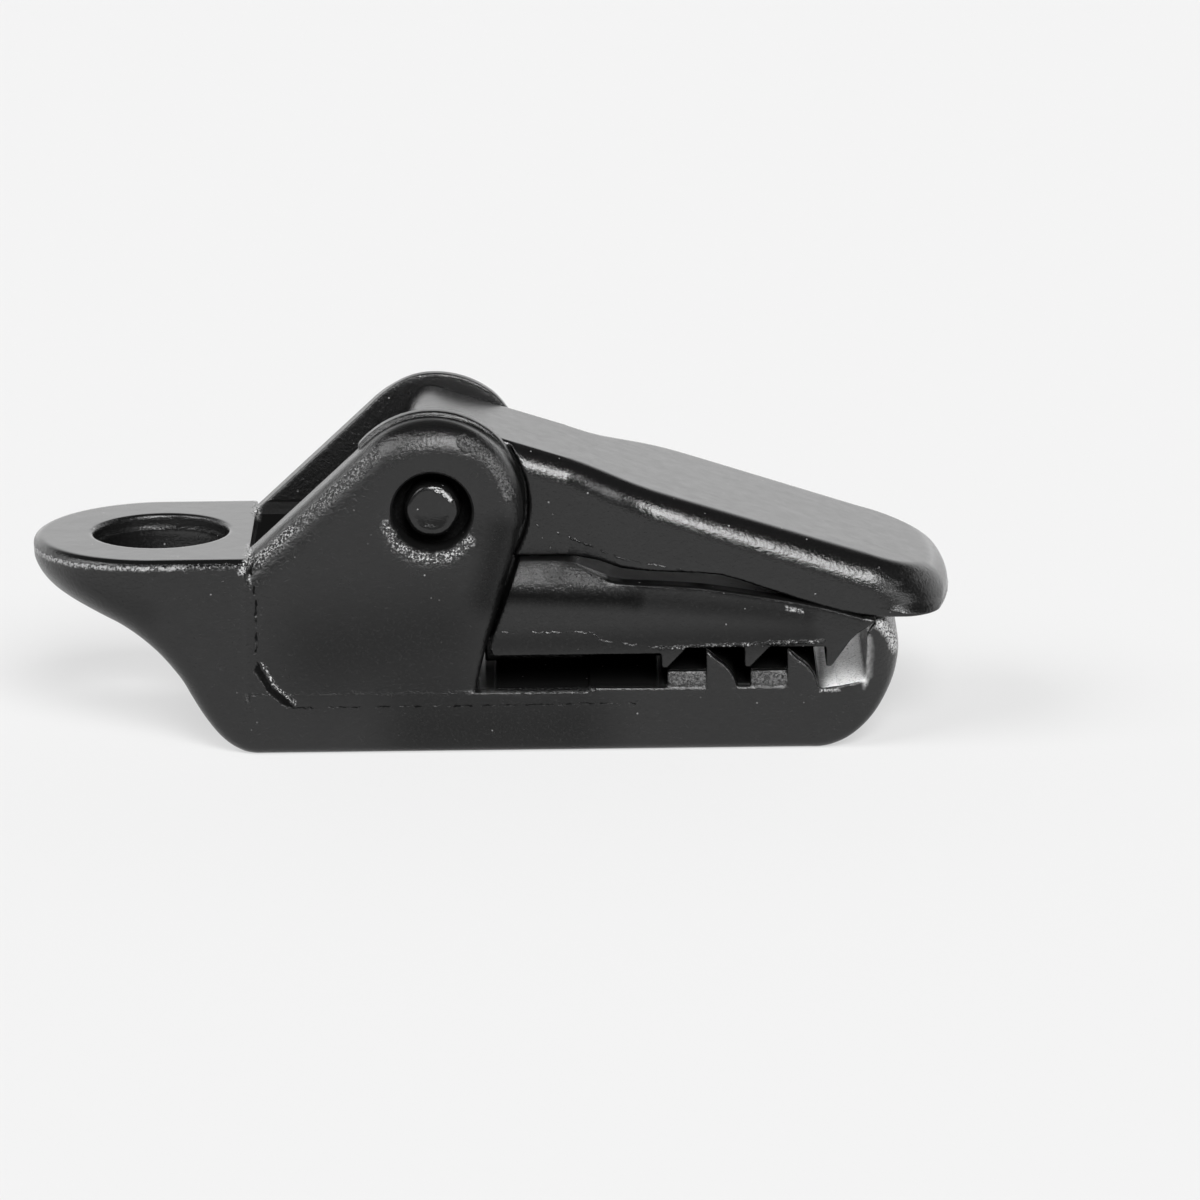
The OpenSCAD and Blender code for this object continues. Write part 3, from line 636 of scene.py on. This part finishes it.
    mix = k.add("ShaderNodeMix")
    mix.data_type = "RGBA"
    colour_a, colour_b, colour_out = 6, 7, 2  # the colour sockets of a mix node
    k.put(mix, 0, dust_and_highlights)
    k.put(mix, colour_a, (base, base, base, 1))
    k.put(mix, colour_b, (PALE_DUST_AND_HIGHLIGHT, PALE_DUST_AND_HIGHLIGHT, PALE_DUST_AND_HIGHLIGHT, 1))
    bump = k.add("ShaderNodeBump", Strength=1.0, Distance=MM, Height=height)
    bsdf = k.add("ShaderNodeBsdfPrincipled", Roughness=r, IOR=1.5)
    k.put(bsdf, "Base Color", mix.outputs[colour_out])
    k.put(bsdf, "Specular IOR Level", gloss)
    k.put(bsdf, "Normal", bump.outputs[0])
    k.end("ShaderNodeOutputMaterial", bsdf)
    return mat


MATS = {
    "body": plastic(
        "body_plastic", 0.005, 0.25, 0.03,
        cracks=[
            ([(-9.0, 7.3), (-8.8, 6.1), (-8.85, 3.75), (-8.35, 2.5), (-7.4, 1.85)], 0.05),  # ear's seam
            ([(-8.82, 3.4), (-8.36, 2.6), (-7.7, 2.0)], 0.17),  # its torn corner, a real pit painted dark as the shade in it
            ([(-7.4, 1.85), (5.5, 1.88)], 0.03)],  # faint line under the ear
        pale=[
            ([(-8.62, 3.6), (-8.16, 2.72), (-7.4, 2.02)], 0.1, 0.8, 0.6),  # painted glints at the torn corner
            ([(14.85, 4.75), (15.2, 4.3), (15.4, 3.7)], 0.34, 0.75, 1.0),  # rough flash on the lip, with a painted highlight on it
            ([(12.5, 2.26), (13.2, 2.3)], 0.1, 0.5, 0.9),  # painted highlight on the edge below the lip's valley
            ([(-0.3, 2.42), (3.9, 2.42)], 0.1, 0.1, 0.5),  # painted glints along the edge of the mouth
            ([(6.9, 2.75), (7.9, 2.75)], 0.3, 0.1, 0.9),  # painted sheen on the pads
            ([(10.0, 2.75), (11.0, 2.75)], 0.3, 0.1, 0.9),
            ([(-9.3, 7.2), (-8.7, 7.9)], 0.25, 0.7, 0.7),  # painted glints where lug and ear meet
            ([(-8.7, 7.55), (-4.3, 11.6)], 0.36, 0.22, 0.6),  # painted highlight sparkle on the ear's sloping edge
            ([(-8.8, 7.45), (-7.4, 8.75)], 0.26, 0.6, 0.6),  # painted highlight at its lower end
            (arc(PX, PZ, 3.0, 66, 12, 6), 0.3, 0.1, 0.9),  # painted highlight speckle on the front of the head
            ([(-17.4, 7.22), (-14.5, 7.3), (-11.4, 7.36)], 0.14, 0.36, 1.0),  # painted highlight along the lug's rim
            ([(-11.4, 7.36), (-9.4, 7.38)], 0.09, 0.3, 0.6),
            (arc(PX, PZ, 1.8, 195, 322, 6), 0.26, 0.55, 0.55)],  # painted highlight on the rim under the pin's recess
        inner_highlight=[
            ([(12.9, 2.45), (13.5, 2.5), (13.95, 2.65)], 0.45, 1.0, 1.5),  # painted reflection in the lip's valley
            ([(14.15, 2.9), (14.2, 4.1)], 0.4, 0.2, 2.4)],  # painted highlight on the lip's inner face
        shine=[
            (13.0, 14.8, 2.3, 4.9, 0.1, 0.6),  # inside the lip
            (-18, -8.8, 6.6, 7.7, 0.1, 0.45)],  # lug's upper edge
        painted_shade=[
            ([(PX, PZ), (PX + 0.01, PZ)], 1.6, 0),  # painted shade in the pin's recess
            ([(7.1, 3.2), (11.8, 3.2)], 0.98, 4.5),  # painted shade behind the pads
            ([(0.5, 2.4), (6.0, 2.4)], 0.4, 4.75),  # painted shade on the mouth floor
            ([(-8.5, 7.5), (-5.5, 7.5)], 0.55, 2.95)],  # painted shade on top of the root's block
        shade=[
            ([(-6.2, 4.0), (-2.0, 4.6)], 3.4, 0.4),  # ear
            ([(-2.5, 1.0), (3.0, 1.0)], 3.0, 0.45),  # base
            ([(0.5, 8.6), (-0.1, 6.0)], 1.1, 0.6),  # ear's front edge
            ([(-15.5, 6.4), (-13.0, 5.6)], 0.9, 0.2)]),  # lug's side
    "jaw": plastic(
        "jaw_plastic", 0.004, 0.22, 0.02, skin=4.0,
        fins=[([(-0.2, 4.68), (3.86, 4.63), (4.16, 4.31), (6.24, 4.01), (12.5, 4.2)], 0.07, 0.03)],
        pale=[
            ([(6.4, 4.0), (12.6, 4.2)], 0.1, 0.5, 0.4),  # over the teeth
            ([(11.2, 5.5), (11.8, 5.35)], 0.12, 0.5, 0.9),  # painted glint near the nose
            ([(0.6, 6.95), (2.4, 6.95)], 0.6, 0.07, 1.5),  # painted highlight along the tongue's top edge
            ([(2.4, 6.95), (4.0, 6.7)], 0.5, 0.04, 1.3)],
        painted_shade=[([(8.6, 3.4), (12.3, 3.4)], 0.75, 4.75)],  # painted shade between the teeth
        shade=[
            ([(-0.5, 6.2), (2.6, 6.05), (5.5, 5.9)], 0.6, 0.9),  # painted shade below the top edge
            ([(5.5, 5.9), (12.0, 5.2)], 0.6, 0.45),
            ([(0.0, 4.25), (12.0, 4.35)], 0.8, 0.4),  # lower edge
            ([(4.5, 6.66), (5.1, 6.52), (8.0, 6.32), (11.34, 5.78), (12.85, 5.45), (14.1, 5.1)],
             0.22, 1.0)]),  # painted shade of the lever on the top edge
    "lever": plastic(
        "lever_plastic", 0.005, 0.16, 0.02,
        fins=[([(1.39, 8.64), (3.45, 7.87), (4.95, 7.39), (8, 6.9)], 0.05, 0.015)]),
    "pin": plastic(
        "pin_plastic", 0.004, 0.16, 0.008, skin=3.9,
        # painted highlight on the upper right of the pin's end
        pale=[(arc(PX, PZ, 0.8, 30, 75, 4), 0.13, 0.6, 1.0)]),
}
for piece, body, node, slot in (
    (build_body(STEP), "base", "body", "body"),
    (build_jaw(STEP), "jaw", "upper_jaw", "jaw"),
    (build_lever(STEP), "lever", "cam_lever", "lever"),
    (build_pin(), "base", "pivot_pin", "pin"),
):
    piece.data.materials.append(MATS[slot])
    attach(piece, body)
    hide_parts(node)

# ---------------------------------------------------------------- floor
FLOOR_HALF = 3  # metres
FLOOR_GREY = 0.24
FLOOR_GLOW = 0.54  # for the camera and reflections alone: it sends no soft light up to the clip
BACKDROP = 0.887

corners = [(sx * FLOOR_HALF, sy * FLOOR_HALF, 0) for sx, sy in ((-1, -1), (1, -1), (1, 1), (-1, 1))]
floor_mesh = bpy.data.meshes.new("floor")
floor_mesh.from_pydata(corners, [], [(0, 1, 2, 3)])
floor = add_object("floor", floor_mesh)
paper = bpy.data.materials.new("floor_paper")
paper.use_nodes = True
k = Nodes(paper.node_tree)
seen = k.add("ShaderNodeLightPath")
glow = k.add("ShaderNodeEmission")
shown = k.most(seen.outputs["Is Camera Ray"], seen.outputs["Is Glossy Ray"])
k.put(glow, "Strength", k.mul(shown, FLOOR_GLOW))
diffuse = k.add("ShaderNodeBsdfDiffuse", Color=(FLOOR_GREY, FLOOR_GREY, FLOOR_GREY, 1))
both_parts = k.add("ShaderNodeAddShader")
k.put(both_parts, 0, diffuse.outputs[0])
k.put(both_parts, 1, glow.outputs[0])
k.end("ShaderNodeOutputMaterial", both_parts)
floor_mesh.materials.append(paper)

# ---------------------------------------------------------------- light
ROOM = 0.02  # light from everywhere
FAR_WALL = 1.4  # low light behind the clip, which its tops reflect

world = bpy.data.worlds.new("studio")
bpy.context.scene.world = world
world.use_nodes = True
k = Nodes(world.node_tree)
ray = k.vec("NORMALIZE", k.add("ShaderNodeTexCoord").outputs["Generated"])


def panel(azimuth, elevation, half_w, half_h, soft, strength):
    """A soft rectangular light far away; azimuth 0 is towards the camera, 90 to the right."""
    a, e = math.radians(azimuth), math.radians(elevation)
    centre = Vector((math.sin(a) * math.cos(e), -math.cos(a) * math.cos(e), math.sin(e)))
    right = Vector((math.cos(a), math.sin(a), 0))
    up = right.cross(centre) * -1
    d = k.vec("DOT_PRODUCT", ray, tuple(centre))
    safe = k.most(d, 0.02)
    u = k.math("ABSOLUTE", k.math("DIVIDE", k.vec("DOT_PRODUCT", ray, tuple(right)), safe))
    v = k.math("ABSOLUTE", k.math("DIVIDE", k.vec("DOT_PRODUCT", ray, tuple(up)), safe))
    return k.mul(k.step(u, half_w, half_w - soft), k.step(v, half_h, half_h - soft),
                 k.step(d, 0.02, 0.1), strength)


_, ray_y, ray_z = k.add("ShaderNodeSeparateXYZ", Vector=ray).outputs
far = k.mul(k.step(ray_y, -0.1, 0.3), k.step(ray_z, 0.62, 0.36))
light = k.math("ADD", ROOM, k.mul(far, FAR_WALL))
for spec in (
    (13, 38, 0.24, 0.29, 0.06, 21.0),  # soft box above the camera
    (48, 14, 0.24, 0.22, 0.14, 3.5),   # low box at the right
    (-66, 40, 0.42, 0.32, 0.12, 7.0),  # soft box at the left
    (0, 5, 2.0, 0.45, 0.3, 0.25),      # room behind the camera
):
    light = k.math("ADD", light, panel(*spec))
lit = k.add("ShaderNodeBackground", Color=(1, 1, 1, 1), Strength=light)
plain = k.add("ShaderNodeBackground", Color=(BACKDROP, BACKDROP, BACKDROP, 1))
choice = k.add("ShaderNodeMixShader")
k.put(choice, 0, k.add("ShaderNodeLightPath").outputs["Is Camera Ray"])
k.put(choice, 1, lit.outputs[0])
k.put(choice, 2, plain.outputs[0])
k.end("ShaderNodeOutputWorld", choice)

# ---------------------------------------------------------------- camera, fitted to the photo
TILT, ROLL = math.radians(14.755), math.radians(-0.69)
EYE = Vector((4.179, -280.4, 78.49)) * MM

cam_data = bpy.data.cameras.new("camera")
cam_data.sensor_width = 36
cam_data.lens = 226.6
cam_data.clip_start = 0.01
cam_data.clip_end = 20
cam = add_object("camera", cam_data)
aim = Vector((0, math.cos(TILT), -math.sin(TILT)))
level = Vector((1, 0, 0))
upright = level.cross(aim)
cam_x = level * math.cos(ROLL) + upright * math.sin(ROLL)
cam_y = upright * math.cos(ROLL) - level * math.sin(ROLL)
cam.matrix_world = Matrix.Translation(EYE) @ Matrix((cam_x, cam_y, -aim)).transposed().to_4x4()
bpy.context.scene.camera = cam
bpy.context.scene.view_settings.view_transform = "Standard"
